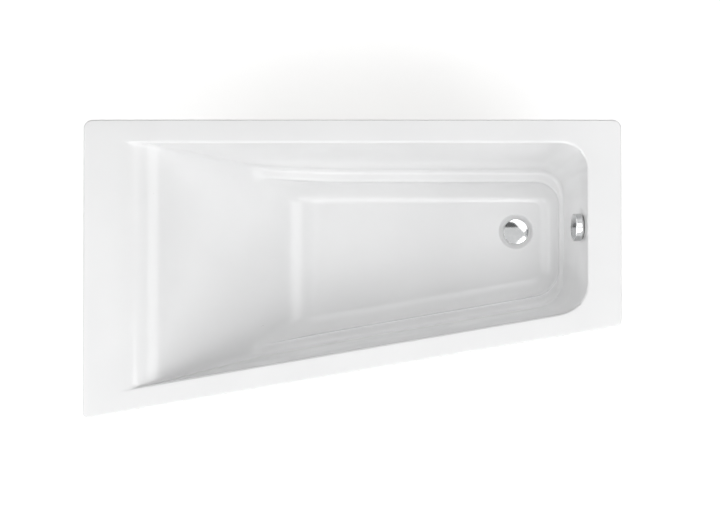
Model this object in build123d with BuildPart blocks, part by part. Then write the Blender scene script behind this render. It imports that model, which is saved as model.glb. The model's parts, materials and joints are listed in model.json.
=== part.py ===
from build123d import *
from math import asin, cos, degrees, pi, radians, sin, tan
import os

# A built-in space-saving bath with one slanted long side. All sizes are in millimetres and degrees.
# X runs from the wide head end to the narrow foot end, Y towards the wall side and Z up.
# The origin is on the floor, under the centre of the box round the rim.

# Rim and outline
tub_length = 1500
head_width = 830
slant_angle = 9.75
rim_height = 590
sheet = 5
glass_layer = 3
layer_top_drop = 25
lip_depth = 38
rim_edge_round = 4
corner_wall = 25
corner_front_foot = 20
corner_front_head = 14
wall_rim = 65
front_rim = 60
foot_rim = 95

# Basin
ledge_depth = 335
basin_depth = 405
wall_lean = 9.1
front_lean = 4.1
foot_lean = 5.3
opening_corner = 75
ledge_on_wall = 33
ledge_on_front = 31
ledge_on_foot = 10
ledge_crease = 14
pan_corner = 70
pan_crease = 55
roll_start = -653
roll_lift = 0.5
roll_radius = 170
backrest_slope = 43
floor_sweep_radius = 200
ledge_start_depth = 283
ledge_level_x = 60
pan_lead = 0.3

# Waste in the floor and overflow in the foot wall, on one line along X
drain_y = 117
waste_x = 490
dish_radius = 54
dish_flat_radius = 43
dish_depth = 7
drain_hole = 26
overflow_depth = 75
overflow_hole = 26

# Fits: a running fit, a snug fit and a loose fit on the radius, and a gap between faces
running_gap = 0.06
snug_gap = 0.05
loose_gap = 0.3
face_gap = 0.3

# Rings and gaskets that the waste and the overflow share
sleeve_outer = 22
sleeve_wall = 2
thin_gasket = 1.5
thick_gasket = 3
gasket_width = 7
spoke_width = 3
spoke_height = 6
guide_wall = 4
chamfer_small = 0.8

# Plug
flange_radius = 35
flange_thickness = 2
cover_radius = 37.5
cover_edge = 3
cover_crown = 2.5
cover_round = 1.2
hub_radius = 9
hub_height = 4
seal_outer = 31
seal_inner = 24
seal_thick = 3
plug_lift = 10
stem_radius = 4
stem_length = 52
stem_chamfer = 1.8

# Waste cup under the hole
cup_flange = 38
cup_flange_thick = 4
cup_outer = 28
cup_wall = 2.5
cup_depth = 59
cup_collar = 15
side_inlet_drop = 35
side_inlet_reach = 62

# Pipes and their union nuts
pipe_outer = 20
pipe_wall = 2.3
socket_wall = 3.7
socket_depth = 12
nut_outer = 28
nut_grip = 10
nut_lip = 4
washer_thick = 4
nut_sides = 12
pipe_bend_radius = 55

# Lifting lever, its cable arm and the box round the arm
lever_arm = 20
lever_tip = 3
lever_hub = 4.5
lever_width = 7
lever_play = 0.8
axle_radius = 3
axle_boss = 7
cable_side = 38
cable_arm = 20
cable_arm_width = 7
box_wall = 3
box_width = 34
box_depth = 10
box_top = 8
box_bottom = 25
ear_radius = 5
small_screw = 1.5
small_head = 3
small_head_thick = 2
small_screw_length = 9

# Trap
trap_bend_radius = 34
trap_span = 70
trap_low = 38
trap_outlet_height = 108
trap_outlet_reach = 150
plug_boss = 12
plug_bore = 9
plug_boss_drop = 4
plug_cap_radius = 14
plug_cap_thick = 5
plug_cap_spigot = 5

# Overflow fitting
knob_radius = 39
knob_thickness = 19
knob_standoff = 6
knob_wall = 3
knob_edge_round = 3
knob_hub = 10
knob_turn = 75
grub_radius = 2
inlet_flange = 33
inlet_flange_thick = 2.5
spindle_radius = 5
elbow_flange = 36
elbow_flange_thick = 4
chamber_radius = 31
chamber_wall = 3
chamber_front = 4
chamber_depth = 46
elbow_drop = 72
pulley_cap_radius = 16
pulley_cap_depth = 22
pulley_cap_wall = 2
pulley_rim = 9
pulley_thick = 6
pulley_back_gap = 5

# Bowden cable between the overflow and the lever
cable_radius = 3
cable_bend_radius = 100
cable_easing_radius = 110
cable_leaves_drop = 40
cable_joins_drop = 110
ferrule_radius = 5
ferrule_length = 16
ferrule_seat = 4
ferrule_boss = 7.5
clip_drops = (155, 215)
clip_width = 10
clip_wall = 2

# Base board and leg frame
board_thick = 16
board_head_x = -50
board_foot_x = 425
board_margin = 12
board_corner = 20
rail_wall_y = 150
rail_front_y = 10
rail_head_x = -430
rail_foot_x = 410
hat_width = 30
hat_height = 25
hat_lip = 15
steel = 2.5
cross_head_x = -400
cross_foot_x = 380
channel_width = 35
channel_height = 22
channel_overhang = 24
foot_wall_y = 300
foot_front_head_y = -270
foot_front_foot_y = -150
screw_xs = (-20, 150, 320)
screw_radius = 2.5
screw_head = 5
screw_head_thick = 2.5
screw_length = 15
bolt_radius = 4
bolt_head = 7.5
bolt_head_thick = 5.5
bolt_length = 13
bolt_nut_across = 13
bolt_nut_height = 6.5

# Levelling feet
stud_radius = 5
stud_hole = stud_radius + 0.5
stud_top = 176
stud_foot = 6
nut_across = 17
hex_nut_height = 8
pad_radius = 26
pad_neck = 11
pad_thick = 7
pad_height = 20

# Battens under the rim
batten_wide = 38
batten_thick = 18
batten_gap = 6
batten_reach = 600
batten_end = 70

# Values that follow from the sizes above
half_length = tub_length / 2
half_width = head_width / 2
front_slant = radians(slant_angle)
front_corner_y = -half_width - corner_front_head * (tan(front_slant) + 1 / cos(front_slant) - 1)
front_out = (sin(front_slant), -cos(front_slant))
rim_underside = rim_height - sheet
floor_z = rim_height - basin_depth
dish_z = floor_z - dish_depth
laminate = sheet + glass_layer
board_top = floor_z - laminate
rail_top = board_top - board_thick
cross_top = rail_top - hat_height
web_under = cross_top - steel
pipe_bore = pipe_outer - pipe_wall
socket_outer = pipe_outer + loose_gap + socket_wall
lever_turn = 2 * degrees(asin(plug_lift / (2 * lever_arm)))
far = 1000
above = 40


def wall_plane(out):
    """The leaning wall-side face of the basin, moved outwards by out."""
    lean = radians(wall_lean)
    edge = (0, half_width - wall_rim, rim_height)
    return Plane(origin=edge, z_dir=(0, cos(lean), -sin(lean))).offset(out)


def foot_plane(out):
    """The leaning foot-end face of the basin, moved outwards by out."""
    lean = radians(foot_lean)
    edge = (half_length - foot_rim, 0, rim_height)
    return Plane(origin=edge, z_dir=(cos(lean), 0, -sin(lean))).offset(out)


def front_plane(out):
    """The leaning slanted face of the basin, moved outwards by out."""
    lean = radians(front_lean)
    corner = (-half_length - front_rim * front_out[0], front_corner_y - front_rim * front_out[1], rim_height)
    outward = (front_out[0] * cos(lean), front_out[1] * cos(lean), -sin(lean))
    return Plane(origin=corner, z_dir=outward).offset(out)


def front_edge_y(x):
    """The Y of the slanted outer edge at x."""
    return front_corner_y + (x + half_length) * tan(front_slant)


# The backrest in side view: it rolls off the rim, runs straight and sweeps into the floor
slope = radians(backrest_slope)
roll_from = (roll_start, rim_height + roll_lift)
roll_to = (roll_start + roll_radius * sin(slope), roll_from[1] - roll_radius * (1 - cos(slope)))
sweep_from_z = floor_z + floor_sweep_radius * (1 - cos(slope))


def backrest_x(z):
    """The X of the straight part of the backrest at height z."""
    return roll_to[0] + (roll_to[1] - z) / tan(slope)


sweep_from = (backrest_x(sweep_from_z), sweep_from_z)
sweep_to = (sweep_from[0] + floor_sweep_radius * sin(slope), floor_z)
ledge_from = (backrest_x(rim_height - ledge_start_depth), rim_height - ledge_start_depth)
ledge_to = (ledge_level_x, rim_height - ledge_depth)
ledge_run = ledge_to[0] - ledge_from[0]
ledge_rise = ledge_from[1] - ledge_to[1]
ledge_radius = (ledge_run**2 + ledge_rise**2) / (2 * ledge_rise)


def corner_edges(block):
    """The two steep edges where the foot face meets the long sides."""
    steep = [edge for edge in block.edges() if abs(edge.tangent_at(0.5).Z) > 0.9]
    return ShapeList([edge for edge in steep if 500 < edge.center().X < half_length])


def crease_edges(block, top):
    """The outline of the bottom of a hollow: every edge that only one of its bottom faces has."""
    bottom = [face for face in block.faces() if face.normal_at().Z < -0.3]
    edges = [edge for face in bottom for edge in face.edges()]
    outline = []
    for edge in edges:
        twins = [other for other in edges if (other.center() - edge.center()).length < 0.01]
        ends_at_head = edge.center().X < -far + 200
        if len(twins) == 1 and edge.center().Z < top - 1 and not ends_at_head:
            outline.append(edge)
    return ShapeList(outline)


def upper_hollow(grow):
    """The wide upper part of the basin, down to the ledge, with its faces moved outwards by grow."""
    top = rim_height + above
    with BuildPart() as hollow:
        with BuildSketch(Plane.XZ):
            with BuildLine():
                start = (-far, roll_from[1] + 8)
                Line(start, roll_from)
                RadiusArc(roll_from, roll_to, roll_radius)
                Line(roll_to, ledge_from)
                RadiusArc(ledge_from, ledge_to, -ledge_radius)
                Polyline(ledge_to, (far, ledge_to[1]), (far, top), (-far, top), start)
            make_face()
            offset(amount=grow, kind=Kind.INTERSECTION)
        extrude(amount=far, both=True)
        split(bisect_by=wall_plane(grow), keep=Keep.BOTTOM)
        split(bisect_by=front_plane(grow), keep=Keep.BOTTOM)
        split(bisect_by=foot_plane(grow), keep=Keep.BOTTOM)
        fillet(corner_edges(hollow), opening_corner + grow)
        fillet(crease_edges(hollow, top), ledge_crease + grow)
    return hollow.part


def pan_hollow(grow):
    """The pan inside the ledge, from the backrest to the foot, with its faces moved outwards by grow."""
    top = rim_height + above
    start = (backrest_x(top), top)
    with BuildPart() as hollow:
        with BuildSketch(Plane(origin=(0, 0, pan_lead), x_dir=(1, 0, 0), z_dir=(0, -1, 0))):
            with BuildLine():
                Line(start, sweep_from)
                RadiusArc(sweep_from, sweep_to, -floor_sweep_radius)
                Polyline(sweep_to, (far, floor_z), (far, top), start)
            make_face()
            offset(amount=grow, kind=Kind.INTERSECTION)
        extrude(amount=far, both=True)
        split(bisect_by=wall_plane(grow - ledge_on_wall), keep=Keep.BOTTOM)
        split(bisect_by=front_plane(grow - ledge_on_front), keep=Keep.BOTTOM)
        split(bisect_by=foot_plane(grow - ledge_on_foot), keep=Keep.BOTTOM)
        fillet(corner_edges(hollow), pan_corner + grow)
        fillet(crease_edges(hollow, top), pan_crease + grow)
    return hollow.part


def basin_hollow(grow, top):
    """The whole basin as a solid up to the height top, with its faces moved outwards by grow."""
    with BuildPart() as hollow:
        add(upper_hollow(grow))
        add(pan_hollow(grow))
        dish_low = dish_z - grow
        dish_top = floor_z + pan_lead + 2
        with BuildSketch(Plane.XY.offset(dish_low)):
            with Locations((waste_x, drain_y)):
                Circle(dish_flat_radius + grow / 2)
        with BuildSketch(Plane.XY.offset(dish_top)):
            with Locations((waste_x, drain_y)):
                Circle(dish_radius + grow)
        loft()
        split(bisect_by=Plane.XY.offset(top), keep=Keep.BOTTOM)
    return hollow.part


def rim_outline(inset):
    """The outline of the rim from above, moved inwards by inset, with its four rounded corners."""
    with BuildSketch() as outline:
        with BuildLine():
            Polyline(
                (-half_length, front_corner_y),
                (half_length, front_edge_y(half_length)),
                (half_length, half_width),
                (-half_length, half_width),
                close=True,
            )
        make_face()
        if inset:
            offset(amount=-inset, kind=Kind.INTERSECTION)
        front_corners = outline.vertices().sort_by(Axis.Y)[:2].sort_by(Axis.X)
        fillet(outline.vertices().sort_by(Axis.Y)[2:], corner_wall - inset)
        fillet(front_corners[1], corner_front_foot - inset)
        fillet(outline.vertices().sort_by(Axis.Y)[0], corner_front_head - inset)
    return outline.sketch


def drain_at(height):
    """A level plane on the waste's axis."""
    return Plane(origin=(waste_x, drain_y, height))


def overflow_at(distance):
    """A plane square to the foot wall on the overflow's axis. Distances into the basin are positive."""
    lean = radians(foot_lean)
    middle = (half_length - foot_rim - overflow_depth * tan(lean), drain_y, rim_height - overflow_depth)
    return Plane(origin=middle, x_dir=(0, -1, 0), z_dir=(-cos(lean), 0, sin(lean))).offset(distance)


def side_view(y):
    """A plane that looks at the part from the front, with X to the right and Z up."""
    return Plane(origin=(0, y, 0), x_dir=(1, 0, 0), z_dir=(0, -1, 0))


def save(piece, name):
    """Label a finished piece and write it to its own file."""
    piece.part.label = name
    export_step(piece.part, f"parts/{name}.step")


def ring(plane, outer, inner, height):
    """A plain ring that stands on a plane."""
    with BuildPart() as body:
        with BuildSketch(plane):
            Circle(outer)
            Circle(inner, mode=Mode.SUBTRACT)
        extrude(amount=height)
    return body


def spoked_ring(face, flange, thick, sleeve_length, spoke_drop, bore):
    """A flange over a sleeve, with four spokes in the sleeve that carry a bored guide."""
    with BuildPart() as body:
        with BuildSketch(face):
            Circle(flange)
        extrude(amount=thick)
        top_edge = body.edges().sort_by(lambda edge: (edge.center() - face.origin).dot(face.z_dir))[-1]
        chamfer(top_edge, chamfer_small)
        with BuildSketch(face):
            Circle(sleeve_outer)
        extrude(amount=-sleeve_length)
        with BuildSketch(face.offset(thick)):
            Circle(sleeve_outer - sleeve_wall)
        extrude(amount=-sleeve_length - thick, mode=Mode.SUBTRACT)
        with BuildSketch(face.offset(-spoke_drop)):
            with Locations((0, 0, 0)):
                Rectangle(2 * sleeve_outer - sleeve_wall, spoke_width)
                Rectangle(spoke_width, 2 * sleeve_outer - sleeve_wall)
            Circle(bore + guide_wall)
        extrude(amount=-spoke_height)
        with BuildSketch(face.offset(thick)):
            Circle(bore)
        extrude(amount=-sleeve_length - thick, mode=Mode.SUBTRACT)
    return body


def union_nut(seat):
    """A union nut that draws a washer on to the end of a socket. It slips over the pipe and the socket."""
    with BuildPart() as nut:
        with BuildSketch(seat.offset(-nut_grip)):
            RegularPolygon(nut_outer, nut_sides)
            Circle(socket_outer + loose_gap, mode=Mode.SUBTRACT)
        extrude(amount=nut_grip + washer_thick)
        with BuildSketch(seat.offset(washer_thick)):
            RegularPolygon(nut_outer, nut_sides)
            Circle(pipe_outer + loose_gap, mode=Mode.SUBTRACT)
        extrude(amount=nut_lip)
    return nut


def union_washer(seat):
    """The washer between a union nut and the end of a socket."""
    return ring(seat, socket_outer, pipe_outer + snug_gap, washer_thick)


def hex_nut(plane, across, height, bore):
    """A hexagon nut that stands on a plane, with the corners of its outer faces cut back."""
    with BuildPart() as nut:
        with BuildSketch(plane):
            RegularPolygon(across / 2, 6, major_radius=False)
        extrude(amount=height)
        with BuildSketch(plane):
            Circle(bore)
        extrude(amount=height, mode=Mode.SUBTRACT)
    return nut


os.makedirs("parts", exist_ok=True)

# Tub shell: a flat rim with a turned-down lip, and the basin hanging from it
with BuildPart() as tub_shell:
    with BuildSketch(Plane.XY.offset(rim_height - lip_depth)):
        add(rim_outline(0))
    extrude(amount=lip_depth)
    fillet(tub_shell.edges().group_by(Axis.Z)[-1], rim_edge_round)
    with BuildSketch(Plane.XY.offset(rim_height - lip_depth)):
        add(rim_outline(sheet))
    extrude(amount=lip_depth - sheet, mode=Mode.SUBTRACT)
    add(basin_hollow(sheet, rim_underside))
    add(basin_hollow(0, rim_height + above / 2), mode=Mode.SUBTRACT)
    with BuildSketch(drain_at(floor_z)):
        Circle(drain_hole)
    extrude(amount=-above, mode=Mode.SUBTRACT)
    with BuildSketch(overflow_at(above)):
        Circle(overflow_hole)
    extrude(amount=-2 * above, mode=Mode.SUBTRACT)
save(tub_shell, "tub_shell")

# Reinforcement: resin and glass fibre sprayed on the outside of the basin
with BuildPart() as reinforcement_layer:
    add(basin_hollow(laminate, rim_height - layer_top_drop))
    add(basin_hollow(sheet + snug_gap, rim_height), mode=Mode.SUBTRACT)
    with BuildSketch(drain_at(floor_z)):
        Circle(drain_hole)
    extrude(amount=-above, mode=Mode.SUBTRACT)
    with BuildSketch(overflow_at(above)):
        Circle(overflow_hole)
    extrude(amount=-2 * above, mode=Mode.SUBTRACT)
save(reinforcement_layer, "reinforcement_layer")

# Battens bedded under the rim, one along each side
batten_low = rim_underside - batten_thick
batten_out = sheet + batten_gap
batten_in = batten_out + batten_wide
with BuildPart() as wall_batten:
    with BuildSketch(Plane.XY.offset(batten_low)):
        with Locations((0, half_width - (batten_out + batten_in) / 2)):
            Rectangle(2 * batten_reach, batten_wide)
    extrude(amount=batten_thick)
save(wall_batten, "wall_batten")

front_step = 1 / cos(front_slant)
with BuildPart() as front_batten:
    with BuildSketch(Plane.XY.offset(batten_low)):
        with BuildLine():
            Polyline(
                (-batten_reach, front_edge_y(-batten_reach) + batten_out * front_step),
                (batten_reach, front_edge_y(batten_reach) + batten_out * front_step),
                (batten_reach, front_edge_y(batten_reach) + batten_in * front_step),
                (-batten_reach, front_edge_y(-batten_reach) + batten_in * front_step),
                close=True,
            )
        make_face()
    extrude(amount=batten_thick)
save(front_batten, "front_batten")


def cross_batten(x):
    """A batten across one end of the rim, between the two long sides."""
    low_y = front_edge_y(x) + batten_end * front_step
    high_y = half_width - batten_end
    with BuildPart() as batten:
        with BuildSketch(Plane.XY.offset(batten_low)):
            with Locations((x, (low_y + high_y) / 2)):
                Rectangle(batten_wide, high_y - low_y)
        extrude(amount=batten_thick)
    return batten


save(cross_batten(-half_length + (batten_out + batten_in) / 2), "head_batten")
save(cross_batten(half_length - (batten_out + batten_in) / 2), "foot_batten")

# Base board bonded under the flat of the pan
crease_share = tan(radians(90 - wall_lean) / 2)
wall_foot_y = half_width - wall_rim - ledge_on_wall - basin_depth * tan(radians(wall_lean))
board_wall_y = wall_foot_y - pan_crease * crease_share - board_margin
front_inset = (front_rim + ledge_on_front + basin_depth * tan(radians(front_lean))) * front_step
rail_ys = (rail_front_y, rail_wall_y)
lip_middle = (hat_width + hat_lip) / 2
screw_spots = [(x, y + side * lip_middle) for x in screw_xs for y in rail_ys for side in (-1, 1)]


def board_front_y(x):
    """The Y of the board's slanted edge at x."""
    return front_edge_y(x) + front_inset + (pan_crease * crease_share + board_margin) * front_step


with BuildPart() as base_board:
    with BuildSketch(Plane.XY.offset(rail_top)) as board_outline:
        with BuildLine():
            Polyline(
                (board_head_x, board_front_y(board_head_x)),
                (board_foot_x, board_front_y(board_foot_x)),
                (board_foot_x, board_wall_y),
                (board_head_x, board_wall_y),
                close=True,
            )
        make_face()
        fillet(board_outline.vertices(), board_corner)
    extrude(amount=board_thick)
    with BuildSketch(Plane.XY.offset(rail_top)):
        with Locations(*screw_spots):
            Circle(screw_radius + snug_gap)
    extrude(amount=screw_length, mode=Mode.SUBTRACT)
save(base_board, "base_board")


def long_rail(y):
    """A hat-section rail along the tub, with its lips up against the board."""
    start = Plane(origin=(rail_head_x, y, rail_top), x_dir=(0, 1, 0), z_dir=(1, 0, 0))
    with BuildPart() as rail:
        with BuildSketch(start):
            with Locations((0, -hat_height / 2)):
                Rectangle(hat_width, hat_height)
            with Locations((0, -steel / 2)):
                Rectangle(hat_width + 2 * hat_lip, steel)
            with Locations((0, -(hat_height - steel) / 2)):
                Rectangle(hat_width - 2 * steel, hat_height - steel, mode=Mode.SUBTRACT)
        extrude(amount=rail_foot_x - rail_head_x)
        with BuildSketch(Plane.XY.offset(rail_top)):
            with Locations(*[(x, y + side * lip_middle) for x in screw_xs for side in (-1, 1)]):
                Circle(screw_radius + snug_gap)
        extrude(amount=-steel, mode=Mode.SUBTRACT)
        with BuildSketch(Plane.XY.offset(cross_top)):
            with Locations((cross_head_x, y), (cross_foot_x, y)):
                Circle(bolt_radius + snug_gap)
        extrude(amount=steel, mode=Mode.SUBTRACT)
    return rail


save(long_rail(rail_wall_y), "wall_side_rail")
save(long_rail(rail_front_y), "front_side_rail")


def cross_rail(x, front_y):
    """A channel across the tub, open downwards, with a foot near each end."""
    end_y = front_y - channel_overhang
    start = Plane(origin=(x, end_y, cross_top), x_dir=(-1, 0, 0), z_dir=(0, 1, 0))
    with BuildPart() as rail:
        with BuildSketch(start):
            with Locations((0, -channel_height / 2)):
                Rectangle(channel_width, channel_height)
            with Locations((0, -(channel_height + steel) / 2)):
                Rectangle(channel_width - 2 * steel, channel_height - steel, mode=Mode.SUBTRACT)
        extrude(amount=foot_wall_y + channel_overhang - end_y)
        with BuildSketch(Plane.XY.offset(cross_top)):
            with Locations((x, front_y), (x, foot_wall_y)):
                Circle(stud_hole)
            with Locations((x, rail_front_y), (x, rail_wall_y)):
                Circle(bolt_radius + snug_gap)
        extrude(amount=-steel, mode=Mode.SUBTRACT)
    return rail


save(cross_rail(cross_head_x, foot_front_head_y), "head_cross_rail")
save(cross_rail(cross_foot_x, foot_front_foot_y), "foot_cross_rail")

# Screws from the rails' lips up into the board
with BuildPart() as board_screws:
    with BuildSketch(Plane.XY.offset(rail_top - steel)):
        with Locations(*screw_spots):
            Circle(screw_radius)
    extrude(amount=screw_length)
    with BuildSketch(Plane.XY.offset(rail_top - steel)):
        with Locations(*screw_spots):
            Circle(screw_head)
    extrude(amount=-screw_head_thick)
save(board_screws, "board_screws")

# Bolts and nuts where the long rails cross the channels
crossings = [(x, y) for x in (cross_head_x, cross_foot_x) for y in rail_ys]
with BuildPart() as rail_bolts:
    with BuildSketch(Plane.XY.offset(cross_top + steel)):
        with Locations(*crossings):
            Circle(bolt_head)
    extrude(amount=bolt_head_thick)
    with BuildSketch(Plane.XY.offset(cross_top + steel)):
        with Locations(*crossings):
            Circle(bolt_radius)
    extrude(amount=-bolt_length)
save(rail_bolts, "rail_bolts")

with BuildPart() as rail_bolt_nuts:
    with BuildSketch(Plane.XY.offset(web_under)):
        with Locations(*crossings):
            RegularPolygon(bolt_nut_across / 2, 6, major_radius=False)
    extrude(amount=-bolt_nut_height)
    with BuildSketch(Plane.XY.offset(web_under)):
        with Locations(*crossings):
            Circle(bolt_radius + snug_gap)
    extrude(amount=-bolt_nut_height, mode=Mode.SUBTRACT)
save(rail_bolt_nuts, "rail_bolt_nuts")

# Levelling feet: a pad, a threaded stud and a nut that carries the rail, with a lock nut above
feet = {
    "head_front": (cross_head_x, foot_front_head_y),
    "head_wall": (cross_head_x, foot_wall_y),
    "foot_front": (cross_foot_x, foot_front_foot_y),
    "foot_wall": (cross_foot_x, foot_wall_y),
}
for place, (x, y) in feet.items():
    with BuildPart() as foot_pad:
        with BuildSketch(side_view(y)):
            with BuildLine():
                Polyline(
                    (x, stud_foot),
                    (x, 0),
                    (x + pad_radius, 0),
                    (x + pad_radius, pad_thick),
                    (x + pad_neck, pad_height),
                    (x + stud_radius + snug_gap, pad_height),
                    (x + stud_radius + snug_gap, stud_foot),
                    close=True,
                )
            make_face()
        revolve(axis=Axis((x, y, 0), (0, 0, 1)))
    save(foot_pad, f"{place}_pad")

    with BuildPart() as foot_stud:
        with BuildSketch(Plane(origin=(x, y, stud_foot))):
            Circle(stud_radius)
        extrude(amount=stud_top - stud_foot)
        chamfer(foot_stud.edges().group_by(Axis.Z)[-1], chamfer_small)
    save(foot_stud, f"{place}_stud")

    nut_plane = Plane(origin=(x, y, web_under - running_gap - hex_nut_height))
    save(hex_nut(nut_plane, nut_across, hex_nut_height, stud_radius + running_gap), f"{place}_nut")

with BuildPart() as lock_nuts:
    with BuildSketch(Plane.XY.offset(cross_top)):
        with Locations(*feet.values()):
            RegularPolygon(nut_across / 2, 6, major_radius=False)
    extrude(amount=hex_nut_height)
    with BuildSketch(Plane.XY.offset(cross_top)):
        with Locations(*feet.values()):
            Circle(stud_radius + running_gap)
    extrude(amount=hex_nut_height, mode=Mode.SUBTRACT)
save(lock_nuts, "lock_nuts")

# Waste: heights of what is stacked through the hole in the dish
flange_low = dish_z + thin_gasket
flange_top = flange_low + flange_thickness
cover_low = flange_top + face_gap + seal_thick
cup_top = dish_z - laminate - thick_gasket
cup_low = cup_top - cup_depth
cup_bore = cup_outer - cup_wall
stem_low = dish_z - stem_length
lever_rest = radians(lever_turn / 2)
lever_x = waste_x - lever_arm * cos(lever_rest)
lever_z = stem_low - lever_play - lever_tip + lever_arm * sin(lever_rest)
inlet_z = cup_top - side_inlet_drop
trap_seat_z = cup_low - nut_lip - washer_thick - 2
trap_top_z = trap_seat_z - socket_depth
stub_low = trap_top_z + face_gap
inlet_end_x = waste_x + side_inlet_reach

gasket_outer = drain_hole + gasket_width
gasket_bore = drain_hole - snug_gap
save(ring(drain_at(dish_z), gasket_outer, gasket_bore, thin_gasket), "waste_top_gasket")
save(ring(drain_at(cup_top), gasket_outer, gasket_bore, thick_gasket), "waste_bottom_gasket")
waste_sleeve = flange_low - cup_top + cup_collar - face_gap
waste_spokes = flange_low - cup_top
stem_guide = stem_radius + running_gap
waste_face = drain_at(flange_low)
save(
    spoked_ring(waste_face, flange_radius, flange_thickness, waste_sleeve, waste_spokes, stem_guide),
    "waste_flange",
)

# Plug: a domed cover, its seal and a stem that the lever pushes up
with BuildPart() as waste_cover:
    with BuildSketch(side_view(drain_y)):
        with BuildLine():
            Polyline((waste_x, cover_low), (waste_x + cover_radius, cover_low))
            Line((waste_x + cover_radius, cover_low), (waste_x + cover_radius, cover_low + cover_edge))
            dome_rise = (cover_radius**2 + cover_crown**2) / (2 * cover_crown)
            dome_edge = (waste_x + cover_radius, cover_low + cover_edge)
            dome_top = (waste_x, cover_low + cover_edge + cover_crown)
            RadiusArc(dome_edge, dome_top, -dome_rise)
            Line(dome_top, (waste_x, cover_low))
        make_face()
    revolve(axis=Axis((waste_x, drain_y, 0), (0, 0, 1)))
    long_edges = waste_cover.edges().filter_by(lambda edge: edge.length > pi * cover_radius)
    fillet(long_edges.sort_by(Axis.Z)[-1], cover_round)
save(waste_cover, "waste_cover")
save(ring(drain_at(cover_low - seal_thick), seal_outer, seal_inner, seal_thick), "plug_seal")
with BuildPart() as plug_stem:
    with BuildSketch(drain_at(stem_low)):
        Circle(stem_radius)
    extrude(amount=cover_low - stem_low)
    chamfer(plug_stem.edges().group_by(Axis.Z)[0], stem_chamfer)
    with BuildSketch(drain_at(cover_low - hub_height)):
        Circle(hub_radius)
    extrude(amount=hub_height)
save(plug_stem, "plug_stem")

# Waste cup: flange, cup, outlet stub, side inlet for the overflow, and the box for the cable arm
arm_y = drain_y - cable_side
box_near_y = arm_y + box_depth / 2 + box_wall
box_open_y = arm_y - box_depth / 2
box_high_z = lever_z + box_top + box_wall
box_low_z = lever_z - box_bottom - box_wall
box_tall = box_high_z - box_low_z
box_middle_z = (box_high_z + box_low_z) / 2
ferrule_z = lever_z - cable_arm * cos(lever_rest)
box_side_x = lever_x + box_width / 2
ear_spots = [(lever_x, box_high_z), (lever_x, box_low_z)]
side_inlet = Plane(origin=(waste_x, drain_y, inlet_z), x_dir=(0, 1, 0), z_dir=(1, 0, 0))
box_side = Plane(origin=(box_side_x, arm_y, ferrule_z), x_dir=(0, 1, 0), z_dir=(1, 0, 0))
with BuildPart() as waste_cup:
    with BuildSketch(drain_at(cup_top)):
        Circle(cup_flange)
    extrude(amount=-cup_flange_thick)
    with BuildSketch(drain_at(cup_top)):
        Circle(cup_outer)
    extrude(amount=-cup_depth)
    with BuildSketch(drain_at(cup_low)):
        Circle(pipe_outer)
    extrude(amount=stub_low - cup_low)
    with BuildSketch(side_inlet):
        Circle(socket_outer)
    extrude(amount=side_inlet_reach)
    with BuildSketch(side_view(drain_y - pipe_outer / 2)):
        with Locations((lever_x, lever_z)):
            Circle(axle_boss)
    extrude(amount=drain_y - pipe_outer / 2 - box_near_y)
    with BuildSketch(side_view(box_near_y)):
        with Locations((lever_x, box_middle_z)):
            Rectangle(box_width, box_tall)
        with Locations(*ear_spots):
            Circle(ear_radius)
    extrude(amount=box_near_y - box_open_y)
    with BuildSketch(box_side):
        Circle(ferrule_boss)
    extrude(amount=ferrule_seat)
    with BuildSketch(drain_at(cup_top)):
        Circle(sleeve_outer + snug_gap)
    extrude(amount=-cup_collar, mode=Mode.SUBTRACT)
    with BuildSketch(drain_at(cup_top - cup_collar)):
        Circle(cup_bore)
    extrude(amount=cup_wall + cup_collar - cup_depth, mode=Mode.SUBTRACT)
    with BuildSketch(drain_at(cup_low + cup_wall)):
        Circle(pipe_bore)
    extrude(amount=stub_low - cup_low - cup_wall, mode=Mode.SUBTRACT)
    with BuildSketch(side_inlet):
        Circle(pipe_bore)
    extrude(amount=side_inlet_reach, mode=Mode.SUBTRACT)
    with BuildSketch(side_inlet.offset(side_inlet_reach)):
        Circle(pipe_outer + loose_gap)
    extrude(amount=-socket_depth, mode=Mode.SUBTRACT)
    with BuildSketch(side_view(arm_y + box_depth / 2)):
        with Locations((lever_x, box_middle_z)):
            Rectangle(box_width - 2 * box_wall, box_tall - 2 * box_wall)
    extrude(amount=box_depth, mode=Mode.SUBTRACT)
    with BuildSketch(side_view(drain_y)):
        with Locations((lever_x, lever_z)):
            Circle(axle_radius + running_gap)
    extrude(amount=cable_side, mode=Mode.SUBTRACT)
    with BuildSketch(side_view(box_near_y)):
        with Locations(*ear_spots):
            Circle(small_screw + snug_gap)
    extrude(amount=box_near_y - box_open_y, mode=Mode.SUBTRACT)
    with BuildSketch(box_side.offset(-box_wall)):
        Circle(ferrule_radius + snug_gap)
    extrude(amount=box_wall + ferrule_seat, mode=Mode.SUBTRACT)
save(waste_cup, "waste_cup")

# Lifting lever in the cup, and the arm that the cable pulls, on the same axle
axle_end_y = arm_y - cable_arm_width / 2
lever_middle = (lever_x + lever_arm / 2 * cos(lever_rest), lever_z - lever_arm / 2 * sin(lever_rest))
arm_middle = (lever_x - cable_arm / 2 * sin(lever_rest), lever_z - cable_arm / 2 * cos(lever_rest))
with BuildPart() as lift_lever:
    with BuildSketch(side_view(drain_y + lever_width / 2)):
        with Locations(lever_middle):
            SlotCenterToCenter(lever_arm, 2 * lever_tip, rotation=-lever_turn / 2)
        with Locations((lever_x, lever_z)):
            Circle(lever_hub)
    extrude(amount=lever_width)
    with BuildSketch(side_view(drain_y)):
        with Locations((lever_x, lever_z)):
            Circle(axle_radius)
    extrude(amount=drain_y - axle_end_y)
save(lift_lever, "lift_lever")

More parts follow.
